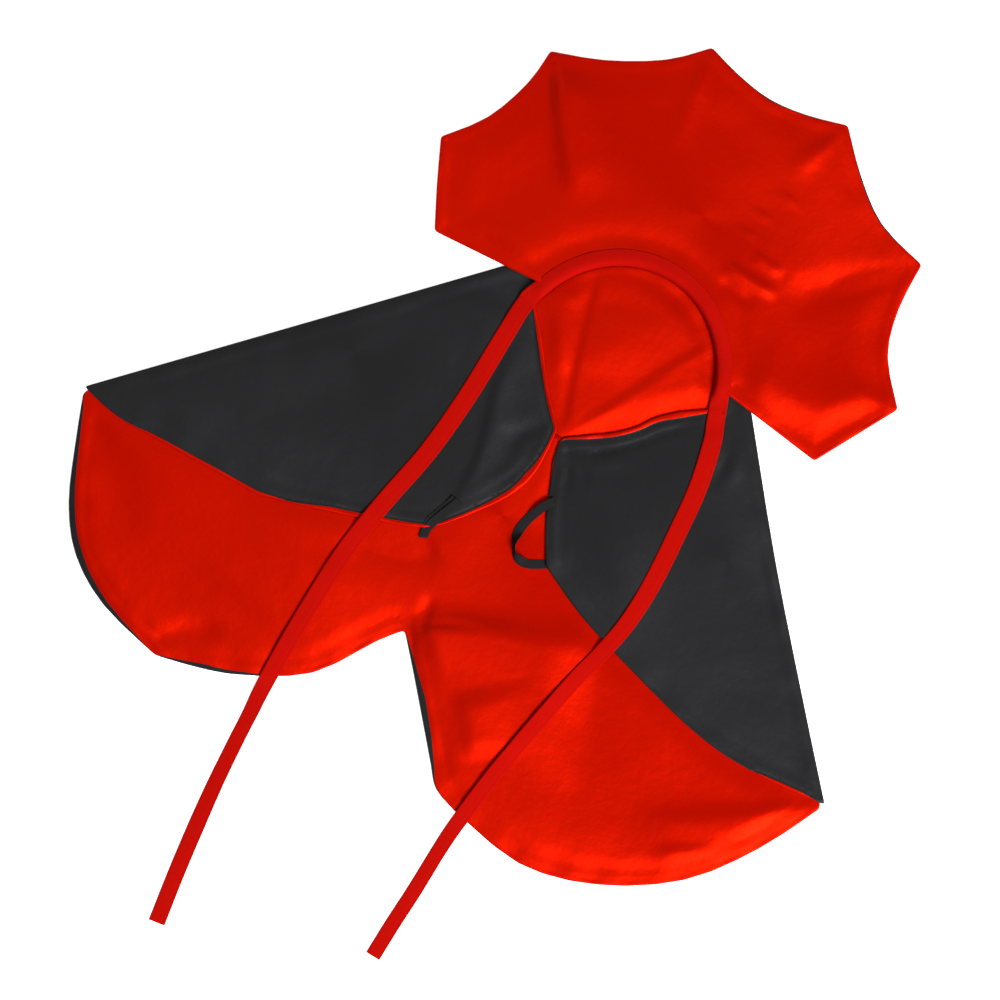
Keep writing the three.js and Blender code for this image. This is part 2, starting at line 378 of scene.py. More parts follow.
def ribbon_section(width, thick, across=13, stitched=0.0):
    """A flat ribbon's section, anticlockwise, with rounded selvedges and a stitched groove on one side."""
    half = width / 2
    x = np.linspace(-1, 1, across)
    x = np.sign(x) * (1 - (1 - np.abs(x)) ** 1.6)
    edge = thick / 2 * np.sqrt(np.clip(1 - np.abs(x) ** 14, 0, 1))
    groove = stitched * np.exp(-0.5 * ((x - 0.68) / 0.09) ** 2)
    lower = np.column_stack([x * half, -edge])
    upper = np.column_stack([x[::-1] * half, (edge - groove)[::-1]])
    return np.vstack([lower[:-1], upper[:-1]])


# ---------------- materials


class Nodes:
    """A material's node tree, with a short way to add and join nodes."""

    def __init__(self, name):
        self.material = bpy.data.materials.new(name)
        self.material.use_nodes = True
        self.tree = self.material.node_tree
        self.tree.nodes.clear()
        self.shader = self.add("ShaderNodeBsdfPrincipled")
        out = self.add("ShaderNodeOutputMaterial")
        self.join(self.shader, "BSDF", out, "Surface")
        self.coords = self.add("ShaderNodeTexCoord")

    def add(self, kind, **settings):
        node = self.tree.nodes.new(kind)
        for key, value in settings.items():
            if hasattr(node, key):
                setattr(node, key, value)
            else:
                node.inputs[key.replace("_", " ")].default_value = value
        return node

    def join(self, a, a_socket, b, b_socket):
        self.tree.links.new(a.outputs[a_socket], b.inputs[b_socket])

    def set(self, **values):
        for key, value in values.items():
            self.shader.inputs[key.replace("_", " ")].default_value = value


def linear(colour):
    """A colour of three values from 0 to 255, as the shaders take it."""
    values = (((c / 255 + 0.055) / 1.055) ** 2.4 if c > 10 else c / 255 / 12.92 for c in colour)
    return (*values, 1.0)


def mixed_colour(nodes, first, second, factor, factor_socket):
    mix = nodes.add("ShaderNodeMix", data_type="RGBA")
    mix.inputs[6].default_value = first
    mix.inputs[7].default_value = second
    nodes.join(factor, factor_socket, mix, 0)
    nodes.tree.links.new(mix.outputs[2], nodes.shader.inputs["Base Color"])


def woven(nodes, pitch, depth, wrinkle_depth):
    """Bump of a fine twill over faint crumples, so that light catches threads and creases."""
    bands = {"wave_type": "BANDS", "bands_direction": "DIAGONAL"}
    warp = nodes.add("ShaderNodeTexWave", **bands, Scale=0.44 / pitch, Distortion=0.6)
    nodes.join(nodes.coords, "Object", warp, "Vector")
    crumple = nodes.add("ShaderNodeTexNoise", Scale=55.0, Detail=5.0, Roughness=0.55)
    nodes.join(nodes.coords, "Object", crumple, "Vector")
    coarse = nodes.add("ShaderNodeBump", Strength=1.0, Distance=wrinkle_depth)
    nodes.join(crumple, "Fac", coarse, "Height")
    fine = nodes.add("ShaderNodeBump", Strength=0.5, Distance=depth)
    nodes.join(warp, "Fac", fine, "Height")
    nodes.join(coarse, "Normal", fine, "Normal")
    nodes.join(fine, "Normal", nodes.shader, "Normal")


def satin(name, colour, shade, metallic, roughness, gloss, sheen):
    nodes = Nodes(name)
    blotch = nodes.add("ShaderNodeTexNoise", Scale=14.0, Detail=3.0, Roughness=0.5)
    nodes.join(nodes.coords, "Object", blotch, "Vector")
    mixed_colour(nodes, linear(shade), linear(colour), blotch, "Fac")
    nodes.set(Metallic=metallic, Roughness=roughness, Anisotropic=0.35, Specular_IOR_Level=0.6)
    nodes.set(Sheen_Weight=sheen, Sheen_Roughness=0.4, Sheen_Tint=linear(gloss))
    nodes.set(Specular_Tint=linear(gloss))
    woven(nodes, pitch=0.0004, depth=0.00002, wrinkle_depth=0.0006)
    return nodes.material


def tape(name, colour, shade):
    nodes = Nodes(name)
    fibre = nodes.add("ShaderNodeTexNoise", Scale=900.0, Detail=3.0, Roughness=0.6)
    nodes.join(nodes.coords, "Object", fibre, "Vector")
    mixed_colour(nodes, linear(shade), linear(colour), fibre, "Fac")
    nodes.set(Roughness=0.85, Sheen_Weight=0.08, Sheen_Roughness=0.5, Sheen_Tint=linear(colour))
    nodes.set(Specular_IOR_Level=0.2, Specular_Tint=linear(colour))
    woven(nodes, pitch=0.0008, depth=0.00005, wrinkle_depth=0.0003)
    return nodes.material


RED_SATIN = satin(
    "red_satin", (180, 9, 0), (168, 7, 0), metallic=0.42, roughness=0.46, gloss=(255, 92, 22), sheen=0.06
)
BLACK_SATIN = satin(
    "black_satin", (34, 34, 35), (28, 28, 29), metallic=0.2, roughness=0.47, gloss=(84, 84, 87), sheen=0.02
)
RED_TAPE = tape("red_tape", (164, 11, 5), (148, 8, 4))
BLACK_RIBBON = tape("black_ribbon", (34, 34, 35), (26, 26, 27))
RED_THREAD = tape("red_thread", (170, 12, 8), (150, 8, 5))
WHITE_FELT = tape("white_felt", (232, 228, 218), (214, 210, 200))


# ---------------- camera

VIEW_TURN = math.radians(30.5)  # the cape lies turned by this on the table
VIEW_SPAN = 0.588  # metres across the picture
VIEW_HEIGHT = 2.4
AIM_OFFSET = Vector((-0.0056, 0.0119, 0))  # from the middle of the CAD box


def camera():
    data = bpy.data.cameras.new("camera")
    data.sensor_width = 36
    data.lens = data.sensor_width * VIEW_HEIGHT / VIEW_SPAN
    data.clip_end = 20
    obj = bpy.data.objects.new("camera", data)
    bpy.context.scene.collection.objects.link(obj)
    middle = (CAD_BOX[0] + CAD_BOX[1]) / 2
    obj.matrix_world = Matrix.Translation(
        Vector((middle.x, middle.y, VIEW_HEIGHT)) + AIM_OFFSET
    ) @ Matrix.Rotation(VIEW_TURN, 4, "Z")
    bpy.context.scene.camera = obj


camera()

# ---------------- the cloth's heights

# The neck opening is the upper part of an ellipse, as the frame has it.
NECK_CENTRE = np.array((-1.8, -26.0))
NECK_RADII = np.array((60.0, 66.0))
TAPE_WIDTH = 10.0

SEAM_BAND = 7.5  # the width of the seam allowance inside each hem
LAYER_GAP = 0.25
PUCKER_HEIGHT, PUCKER_REACH = 0.4, 9.0
PUCKER_PATCH = 20  # the length of hem over which puckers keep much the same size
RIM_FADE = 2.5  # puckers grow over this distance from the very edge

LEFT_FOLD = [(-265, -188), (-88, -1)]
RIGHT_FOLD = [(81, -2.5), (137, -70), (195, -135), (235, -179)]
LOOP_END = (23, -139)  # where the right loop goes in under the right front


def edge_round(depth, radius):
    return np.sqrt(np.clip(1 - (1 - np.clip(depth / radius, 0, 1)) ** 2, 0, 1))


def neck_outset(p):
    """How far outside the neck opening's edge a point is, roughly."""
    rel = (p - NECK_CENTRE) / NECK_RADII
    return (np.linalg.norm(rel, axis=1) - 1) * NECK_RADII.mean()


def under_collar(p):
    """1 where the collar lies on the cape, 0 elsewhere."""
    return smoothstep(-1, 5, neck_outset(p)) * smoothstep(-32, -14, p[:, 1])


def puckers(outline, index, depth, wavelength, seed):
    """Small puckers of a sewn edge, that run in from it and die away."""
    rng = np.random.default_rng(seed)
    count = len(outline.loop)
    run = np.arange(count) * Outline.STEP
    phase = np.cumsum(rng.uniform(0.55, 1.45, count)) * Outline.STEP / wavelength
    patches = np.arange(0, run[-1] + PUCKER_PATCH, PUCKER_PATCH)
    sizes = np.interp(run, patches, rng.uniform(0.1, 1.0, len(patches)))
    wave = np.sin(math.tau * phase) * sizes
    return PUCKER_HEIGHT * wave[index] * np.exp(-0.5 * (depth / PUCKER_REACH) ** 2)


back_outline = Outline(cad_outline("back_outer"))
left_outline = Outline(cad_outline("left_front_outer"))
right_outline = Outline(cad_outline("right_front_outer"))


def rolled_out(outline, keys):
    """The outline with the lining's rolled edge added outside it, by a width at each key place."""
    return Outline(outline.loop - outline.inward * outline.along(keys)[:, None], soften=0.6)


# The fronts' linings roll outwards along the neck edges.
ROLL = 2.2
LEFT_ROLL = [(-13, -80, 0), (-14, -68, 0.5), (-22, -60, ROLL), (-50, -27, ROLL)]
LEFT_ROLL += [(-61, -13, 0.6), (-64, -5, 0), (-100, -190, 0)]
RIGHT_ROLL = [(60, -5, 0), (58, -13, 0.6), (46, -24, ROLL), (8, -62, ROLL)]
RIGHT_ROLL += [(-5, -70, 0.8), (-8, -76, 0), (100, -170, 0)]
left_outline = rolled_out(left_outline, LEFT_ROLL)
right_outline = rolled_out(right_outline, RIGHT_ROLL)


def collar_line():
    """The collar's outline, a little hollow along its left end."""
    line = cad_outline("collar_face")
    dent = np.exp(-0.5 * (np.linalg.norm((line - (-98, 2)) / (16, 8), axis=1)) ** 2)
    line[:, 1] += 2.5 * dent
    return line


collar_outline = Outline(collar_line())


def back_relief(p):
    """Folds of the back panel below the fronts."""
    z = 1.1 + 1.2 * smoothstep(-140, -180, p[:, 1]) + ripples(p, 11, (170, 130, 95, 70), 0.4)
    # the tension fold from the notch, steep above and gentle below
    path = [(-26, -213), (-2, -199), (24, -190), (44, -183), (80, -170)]
    z += fold(p, path, 4.8, (4, 11), (18, 60), (0.02, 0.3))
    z += fold(p, [(-27, -211), (-8, -199), (16, -189)], -1.6, 1.6, 1.6, (0.05, 0.6))
    z += fold(p, [(-24, -211), (-25, -198), (-27, -187)], -1.6, 3, 3, (0.1, 0.5))
    # the hollow inside the notch's right-hand hem, between two ridges
    z += fold(p, [(-16, -224), (4, -245), (24, -268)], 1.8, (3, 7), 4, (0.1, 0.3))
    z += fold(p, [(18, -226), (32, -242), (46, -262)], 2.6, 18, 6, (0.3, 0.3))
    # soft folds into the right corner
    path = [(138, -248), (176, -225), (206, -203), (232, -181)]
    z += fold(p, path, 2.2, (7, 3), (18, 6), (0.3, 0.03))
    z += fold(p, [(160, -256), (194, -236), (221, -212)], 1.5, 3.5, 9, (0.2, 0.3))
    z += mound(p, (90, -236), 1.6, 22, 9, -28)
    z += mound(p, (112, -268), 1.6, 30, 14, 10)
    # the left lobe: a broad swell, a hollow along the front's hem, and a rolled edge
    z += fold(p, [(-92, -196), (-88, -225), (-90, -262)], 1.6, 26, 60, (0.3, 0.3))
    z += fold(p, [(-255, -198), (-225, -225), (-190, -252)], -1.5, (6, 14), (6, 14), (0.1, 0.4))
    z += fold(p, [(-38, -160), (-52, -174), (-92, -186)], -2.2, 8, 10, (0.2, 0.3))
    z += fold(p, [(-248, -225), (-226, -262), (-196, -284), (-165, -293)], 1.6, 5, 4, (0.1, 0.1))
    z += fold(p, [(-152, -296), (-140, -280), (-118, -268)], -1.6, 4, 6, (0.05, 0.4))
    return np.maximum(z, 0.2)


def opening_relief(p):
    """Folds of the back lining inside the neck opening, drawn together at the tack."""
    z = 2.6 + ripples(p, 17, (60, 42), 0.3)
    path = [(-42, 28), (-36, 13), (-29, -13), (-21, -38), (-12, -64)]
    z += fold(p, path, -1.3, 1.3, (7, 3), (0.1, 0.02))
    path = [(42, 22), (30, 2), (21, -16), (11, -36), (1, -55), (-7, -69)]
    z += fold(p, path, 1.2, (8, 2.5), 1.3, (0.1, 0.02))
    z += fold(p, [(-50, 12), (-44, -6), (-36, -26), (-26, -45)], 0.9, 5, 6, (0.2, 0.3))
    z += fold(p, [(-20, 16), (-12, -10), (-6, -34)], 0.8, 12, 9, (0.3, 0.3))
    z += fold(p, [(48, 2), (36, -16), (22, -36)], 1.0, 6, 7, (0.2, 0.3))
    z -= 1.6 * np.exp(-0.5 * ((p[:, 0] - 14) / 24) ** 2) * smoothstep(-16, -3, neck_outset(p))
    return np.maximum(z, 0.2)


def under_fronts(p, margin):
    """1 where the fronts lie on the back, 0 further than a margin from them."""
    fronts = (left_outline, right_outline)
    return np.max([smoothstep(-margin, 5, outline.locate(p)[0]) for outline in fronts], axis=0)


def back_heights(p, depth, index):
    below = smoothstep(-78, -96, p[:, 1])
    covered = np.maximum(under_fronts(p, 14.0), under_collar(p))
    relief = opening_relief(p) * (1 - below) + back_relief(p) * below
    relief = relief * (1 - covered) + 0.35 * covered
    relief = relief * (0.2 + 0.8 * smoothstep(0, 18, depth))
    seam = 1 - smoothstep(SEAM_BAND - 1.5, SEAM_BAND + 1, depth)
    thick = 0.8 + 0.6 * seam * (1 - covered)
    swell = edge_round(depth, 1.3)
    middle = 0.1 + relief * 0.8 + thick / 2
    gather = puckers(back_outline, index, depth, wavelength=26.0, seed=61)
    gather = gather * (1 - covered) * smoothstep(0, RIM_FADE, depth)
    return middle - thick / 2 * swell, middle + (thick / 2 + relief * 0.2) * swell + gather


def left_relief(p):
    z = 2.8 + ripples(p, 23, (120, 90, 60), 0.35)
    path = [(-56, -26), (-56, -60), (-49, -85), (-43, -110), (-42, -140), (-46, -158)]
    z += fold(p, path, 1.8, (6, 10), 1.8, (0.25, 0.05))
    z += fold(p, [(-20, -71), (-27, -80), (-33, -96)], -2.0, (1.4, 3), (3.5, 7), (0.05, 0.4))
    z += fold(p, [(-20, -88), (-25, -104), (-33, -124), (-42, -142)], 1.2, 3, 3, (0.1, 0.2))
    z += fold(p, [(-130, -176), (-180, -176), (-222, -178)], 1.0, 5, 5, (0.2, 0.2))
    z += fold(p, [(-84, -60), (-110, -100), (-150, -140)], 1.2, 14, 14, (0.3, 0.3))
    z += fold(p, [(-100, -96), (-140, -120), (-190, -160)], -1.0, 12, 12, (0.3, 0.3))
    return z


def left_lines(p):
    """Narrow seam lines of the left front."""
    path = [(-19, -67), (-30, -55), (-41, -44), (-50, -32), (-58, -21)]
    z = fold(p, path, -0.9, 1.0, 1.0, (0.05, 0.2))
    path = [(-112, -38), (-160, -89), (-205, -135), (-226, -158), (-242, -178)]
    return z + fold(p, path, 0.5, 0.9, 3.0, (0.1, 0.15))


def right_relief(p):
    z = 2.4 + ripples(p, 37, (120, 90, 60), 0.35)
    z += fold(p, [(-5, -78), (6, -88), (10, -102)], -1.8, 1.6, 2.6, (0.05, 0.4))
    z += fold(p, [(-4, -77), (10, -80), (22, -90)], -1.6, 1.6, 2.6, (0.05, 0.4))
    z += mound(p, (24, -69), 1.2, 7, 3.0, 35)
    z += fold(p, [(82, -10), (87, -28), (94, -48)], 2.0, 3.5, 4, (0.1, 0.4))
    z += fold(p, [(76, -14), (82, -34), (84, -56)], -1.8, 2.4, 2.6, (0.1, 0.4))
    z += fold(p, [(100, -70), (130, -110), (165, -150)], 1.2, 12, 14, (0.3, 0.3))
    z += fold(p, [(40, -90), (62, -120), (88, -150)], 0.9, 12, 12, (0.3, 0.3))
    return z


def right_lines(p):
    """Narrow seam lines of the right front."""
    path = [(-4, -77), (8, -73), (20, -64), (32, -52), (44, -38), (58, -24)]
    z = fold(p, path, -1.1, 1.1, 1.1, (0.03, 0.2))
    return z + fold(p, [(1, -84), (5, -98), (14, -119), (26, -139)], 0.4, 1.2, 1.2, (0.1, 0.2))


def front_heights(outline, fold_line, relief, lines, wrap_table, seed):
    """The heights of a front, which lies on the back and goes down round it at the side fold."""
    mask = on_side_fold(outline, fold_line)
    wrap = outline.along(wrap_table)

    def heights(p, depth, index):
        back_depth, back_index = back_outline.locate(p)
        floor = back_heights(p, np.maximum(back_depth, 0), back_index)[1] + LAYER_GAP
        floor = floor + mound(p, LOOP_END, 0.75, 6, 6)
        side = mask[index] * (1 - smoothstep(0, 3.5, depth))
        under = floor * (1 - side) + 0.25 * side
        free = 1 - under_collar(p)
        puff = relief(p) * smoothstep(0, 14, depth) * (0.35 + 0.65 * smoothstep(0, 40, depth)) * free
        puff = puff + 0.35 * (1 - smoothstep(0, 14, depth))
        gather = puckers(outline, index, depth, wavelength=30.0, seed=seed)
        puff = puff + gather * smoothstep(0, RIM_FADE, depth) * free
        seam = 1 - smoothstep(SEAM_BAND - 2.2, SEAM_BAND + 1.5, depth)
        # a groove beside the lining's edge, wherever the lining shows
        shown = wrap[index]
        groove = 0.5 * np.exp(-0.5 * ((depth - shown - 0.9) / 0.6) ** 2) * (shown > 0.5)
        top = np.maximum(0.8 + 0.45 * seam + np.maximum(puff, 0) - groove + lines(p), 0.45) + floor
        swell = edge_round(depth, 1.1 + 1.2 * mask[index])
        middle = (under + top) / 2
        return middle + (under - middle) * swell, middle + (top - middle) * swell

    return heights


def on_side_fold(outline, fold_line):
    """1 for the outline samples along a side fold."""
    line = catmull(fold_line, PER_SPAN)
    far = np.min([to_segment(outline.loop, a, b)[0] for a, b in zip(line[:-1], line[1:])], axis=0)
    return 1 - smoothstep(1.5, 4, far)


# How far the lower cloth shows on the upper side, by place round each outline. Where it is negative,
# the upper cloth is turned under.
BACK_WRAP = [
    (235, -179, 0), (186, -259, 0), (97, -300, 0), (47, -292, 0), (33, -287, 0.4),
    (24, -277, 2.0), (12, -263, 3.6), (-2, -247, 4.2), (-14, -234, 2.6), (-26, -220, 0.9),
    (-30, -216, 0), (-41, -230, 0), (-64, -265, 0), (-84, -279, 0.6), (-98, -286, 1.8),
    (-122, -296, 3.0), (-142, -302, 1.2), (-152, -303, 0), (-164, -300, 1.2), (-190, -293, 3.0),
    (-219, -276, 4.2), (-238, -252, 3.8), (-252, -221, 2.6), (-260, -200, 1.6), (-265, -188, 0),
    (-176, -95, 0), (0, 45, 0), (160, -95, 0),
]
LEFT_WRAP = [
    (-200, -120, -3.5), (-258, -189, 0), (-241, -193, 0), (-228, -193, 0.4), (-215, -193, 1.5),
    (-183, -192, 1.9), (-145, -191, 1.8), (-126, -186, 0.4), (-118, -183, 1.2), (-103, -178, 2.8),
    (-82, -171, 2.4), (-61, -163, 2.4), (-43, -152, 1.6), (-29, -134, 1.9), (-16, -115, 3.1),
    (-11, -102, 4.2), (-10, -91, 2.8), (-12, -78, 1.6), (-14, -68, 1.8), (-22, -60, ROLL + 0.6),
    (-37, -44, ROLL), (-50, -27, ROLL + 0.8), (-61, -13, 1.4), (-66, -2, 0), (-88, -1, -3.5),
]
RIGHT_WRAP = [
    (160, -95, -3.5), (84, -5, -3.5), (62, -2, 0), (58, -12, 2.0), (46, -24, ROLL + 1.6),
    (37, -32, ROLL + 0.8), (28, -45, ROLL + 0.2), (8, -62, ROLL + 0.2), (-5, -70, 1.2),
    (-8, -76, 0), (-4, -88, 0.4), (-1, -96, 0), (22, -141, 0), (102, -170, 0), (160, -183, 0),
    (185, -184, 0.2), (205, -182, 1.6), (220, -180, 1.4), (230, -179, 0), (222, -165, -3.5),
]

# The back is drawn in along the side folds, so that each front's cloth goes round outside it.
FOLD_INSET = 2.4


def drawn_in(outline):
    loop = outline.loop.copy()
    for fold_line in (LEFT_FOLD, RIGHT_FOLD):
        loop += outline.inward * (on_side_fold(outline, fold_line) * FOLD_INSET)[:, None]
    return loop


back_outline = Outline(drawn_in(back_outline), soften=0.8)
back = Panel(back_outline, back_outline.along(BACK_WRAP), back_heights)
left = Panel(
    left_outline,
    left_outline.along(LEFT_WRAP),
    front_heights(left_outline, LEFT_FOLD, left_relief, left_lines, LEFT_WRAP, 71),
)
right = Panel(
    right_outline,
    right_outline.along(RIGHT_WRAP),
    front_heights(right_outline, RIGHT_FOLD, right_relief, right_lines, RIGHT_WRAP, 83),
)


def collar_relief(p):
    z = 1.8 + ripples(p, 51, (150, 110, 80), 0.4)
    z += fold(p, [(-127, 120), (-110, 101), (-94, 82), (-66, 50)], 4.0, (6, 26), (2.5, 7), (0.02, 0.3))
    z += fold(p, [(-49, 168), (-43, 140), (-36, 104)], 1.6, (2, 8), (2, 5), (0.02, 0.4))
    z += mound(p, (-10, 136), -1.4, 14, 14)
    z += fold(p, [(43, 169), (36, 148), (27, 124)], 1.6, (2, 6), (2, 6), (0.02, 0.4))
    z += fold(p, [(122, 122), (104, 104), (86, 86), (58, 56)], -2.2, (3, 12), (3, 10), (0.02, 0.3))
    z += fold(p, [(66, 10), (98, 15), (130, 33), (151, 43)], 2.6, (20, 6), (14, 6), (0.15, 0.05))
    z += fold(p, [(-130, -2), (-112, 9), (-90, 12), (-70, 8)], 1.2, 5, 4, (0.1, 0.2))
    z += mound(p, (-14, 102), 1.4, 26, 18, 10)
    z += mound(p, (56, 98), 2.0, 24, 14, -40)
    z += mound(p, (34, 80), 1.2, 14, 9, -20)
    # crumples above the neck's upper right
    z += fold(p, [(22, 65), (40, 64), (61, 64)], 2.2, 2.0, 2.4, (0.2, 0.3))
    z += fold(p, [(24, 55), (38, 53), (52, 53)], -1.4, 2.4, 2.4, (0.2, 0.3))
    z += fold(p, [(34, 78), (46, 77), (56, 77)], 1.4, 1.8, 2.2, (0.2, 0.3))
    z += mound(p, (36, 116), 1.0, 4.5, 1.4, -4)
    z += mound(p, (28, 100), 1.0, 4.0, 1.2, -4)
    z += mound(p, (25, 87), 0.9, 3.5, 1.2, -4)
    return np.maximum(z, 0.3)


def collar_heights(p, depth, index):
    """The collar lies on the fronts' shoulders near the neck, and on the table further out."""
    out = neck_outset(p)
    base = 0.15 + 4.0 * (1 - smoothstep(22, 70, out))
    thick = 1.2 + 0.4 * (1 - smoothstep(4.5, 7, depth))
    full = np.maximum(smoothstep(0, 24, depth), smoothstep(26, 8, out))
    puff = collar_relief(p) * (0.15 + 0.85 * full)
    gather = puckers(collar_outline, index, depth, wavelength=34.0, seed=97)
    gather = gather * smoothstep(0, RIM_FADE, depth)
    swell = edge_round(depth, 1.2)
    under = base + 0.5 * puff
    top = base + thick + puff + gather
    middle = (under + top) / 2
    return middle + (under - middle) * swell, middle + (top - middle) * swell


# The red face goes round the collar's edge, except on the scallops where a thread of black shows.
COLLAR_WRAP = [
    (-134, -5, -0.8), (-159, 45, -0.8), (-129, 121, -0.8), (-90, 138, -0.6), (-48, 171, -0.6),
    (-26, 165, 0.3), (-3, 162, 0.7), (30, 168, 0.3), (44, 172, -0.6), (66, 150, 0.8),
    (100, 129, 0.7), (123, 123, -0.6), (154, 43, -0.8), (127, -8, -0.8), (0, 45, 0),
]
collar = Panel(collar_outline, collar_outline.along(COLLAR_WRAP), collar_heights)


def highest(p, panels):
    return np.max([panel.top_at(p) for panel in panels] + [np.zeros(len(p))], axis=0)


# ---------------- cords: the ties and loops

# Each route repeats the frame's, in metres. The heights follow the cloth that each ribbon lies on.
LEFT_TIE = [
    (-0.0658, -0.0090), (-0.0670, -0.0200), (-0.0673, -0.0410), (-0.0680, -0.0790),
    (-0.0713, -0.1180), (-0.0777, -0.1520), (-0.0815, -0.1750), (-0.0838, -0.1920),
    (-0.0850, -0.2150), (-0.0855, -0.2500), (-0.0849, -0.2860), (-0.0836, -0.3040),
    (-0.0823, -0.3250), (-0.0797, -0.3560), (-0.0743, -0.4000), (-0.0685, -0.4380),
]
RIGHT_TIE = [
    (0.0618, -0.0087), (0.0657, -0.0190), (0.0696, -0.0290), (0.0758, -0.0560), (0.0790, -0.0870),
    (0.0812, -0.1180), (0.0805, -0.1450), (0.0765, -0.1680), (0.0715, -0.1870), (0.0665, -0.2120),
    (0.0615, -0.2400), (0.0572, -0.2680), (0.0540, -0.2990), (0.0530, -0.3170), (0.0525, -0.3450),
    (0.0515, -0.3680), (0.0510, -0.3905),
]
RIGHT_LOOP = [
    (0.0076, -0.1056), (0.0040, -0.1107), (0.0011, -0.1173), (-0.0010, -0.1240),
    (-0.0020, -0.1305), (-0.0014, -0.1360), (0.0000, -0.1405), (0.0025, -0.1439),
    (0.0064, -0.1459), (0.0118, -0.1457), (0.0166, -0.1434), (0.0208, -0.1409), (0.0225, -0.1397),
]
LEFT_LOOP = [
    (-0.0435, -0.1340, 0.0), (-0.0455, -0.1400, 0.0), (-0.0480, -0.1470, 0.0),
    (-0.0500, -0.1535, 0.0), (-0.0499, -0.1585, 0.0), (-0.0486, -0.1622, 0.0),
    (-0.0481, -0.1636, 0.5), (-0.0486, -0.1622, 1.0), (-0.0492, -0.1583, 1.0),
    (-0.0478, -0.1525, 1.0), (-0.0454, -0.1460, 1.0), (-0.0429, -0.1396, 1.0),
    (-0.0410, -0.1343, 1.0),
]
TIE_THICK = 0.7
LOOP_WIDTH, LOOP_THICK = 5.5, 0.5
# The width of each ribbon as seen, by the share of its length.
LEFT_TIE_WIDTHS = [(0, 10.6), (0.1, 11.2), (0.35, 11.0), (0.5, 10.4), (0.64, 10.0)]
LEFT_TIE_WIDTHS += [(0.7, 9.0), (0.76, 9.2), (0.85, 10), (1, 10)]
RIGHT_TIE_WIDTHS = [(0, 10.6), (0.08, 11.2), (0.27, 11.0), (0.37, 10.2), (0.45, 9.7)]
RIGHT_TIE_WIDTHS += [(0.75, 9.4), (0.82, 9.0), (1, 9.2)]
RIGHT_LOOP_WIDTHS = [(0, 5.3), (0.55, 6.2), (1, 5.3)]
LAID_GAP = 0.06  # between a ribbon and what it lies on
LOOP_SAMPLES = 70


def moving_mean(values, reach):
    padded = np.concatenate([np.full(reach, values[0]), values, np.full(reach, values[-1])])
    return np.convolve(padded, np.ones(2 * reach + 1) / (2 * reach + 1), mode="valid")


def laid_height(flat, sides, width, panels, reach=2):
    """The height and the slope across at which a ribbon lies on the panels under it."""
    shares = np.array((-0.5, -0.25, 0.0, 0.25, 0.5))
    under = np.array([highest(flat + sides[:, :2] * (width * s)[:, None], panels) for s in shares])
    slope = moving_mean((under[4] - under[0]) / width, reach)
    over = np.max(under - slope * width * shares[:, None], axis=0)
    raised = np.array([over[max(0, i - reach) : i + reach + 1].max() for i in range(len(over))])
    return moving_mean(raised, reach), slope


def laid_ribbon(
    name, route, widths, thick, material, turn, panels=(back, left, right), ground=None, step=2.0
):
    """A ribbon laid along a route over the panels below it.

    widths are (share of the length, width) pairs, and turn gives its roll along its length in degrees.
    ground changes the height that it lies at, from its points, their shares and the height found.
    """
    flat = catmull(np.array(route)[:, :2] / MM, 12)
    flat = respaced(flat, int(lengths_along(flat)[-1] / step) + 1)
    shares = np.linspace(0, 1, len(flat))
    width = np.interp(shares, *np.array(widths, float).T)
    level = level_sides(flat)
    height, slope = laid_height(flat, level, width, panels)
    if ground is not None:
        height = ground(flat, shares, height)
    roll = np.radians(turn(shares))
    # a rolled ribbon stands on its lower edge
    height = height + LAID_GAP + thick / 2 + np.abs(np.sin(roll)) * width * 0.45
    roll = roll + np.arctan(slope)
    path = np.column_stack([flat, height])
    normal = np.cross(unit(np.gradient(path, axis=0)), level)
    normal *= np.sign(normal[:, 2:3])
    sides = level * np.cos(roll)[:, None] + normal * np.sin(roll)[:, None]
    ups = normal * np.cos(roll)[:, None] - level * np.sin(roll)[:, None]
    sections = [ribbon_section(w, thick, stitched=0.3 * thick) for w in width]
    return strip(name, path, sides, ups, sections, material), path, sides


def right_tie_roll(share):
    """The right tie rolls part way onto its edge where it crosses the lining."""
    return -8 * smoothstep(0.44, 0.56, share) * (1 - smoothstep(0.68, 0.8, share))


def left_tie_roll(share):
    """The left tie rocks a little where it crosses the lining."""
    rocking = 5 * np.sin(share * 9.0)
    return rocking * smoothstep(0.35, 0.5, share) * (1 - smoothstep(0.75, 0.9, share))


tie_left, left_path, left_sides = laid_ribbon(
    "tie_left", LEFT_TIE, LEFT_TIE_WIDTHS, TIE_THICK, RED_TAPE, left_tie_roll
)
tie_right, right_path, right_sides = laid_ribbon(
    "tie_right", RIGHT_TIE, RIGHT_TIE_WIDTHS, TIE_THICK, RED_TAPE, right_tie_roll
)


def declare_cord(obj, body, node):
    if body is not None:
        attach(obj, body)
    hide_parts(node)


declare_cord(tie_left, "cape", "tie_left")
declare_cord(tie_right, "cape", "tie_right")


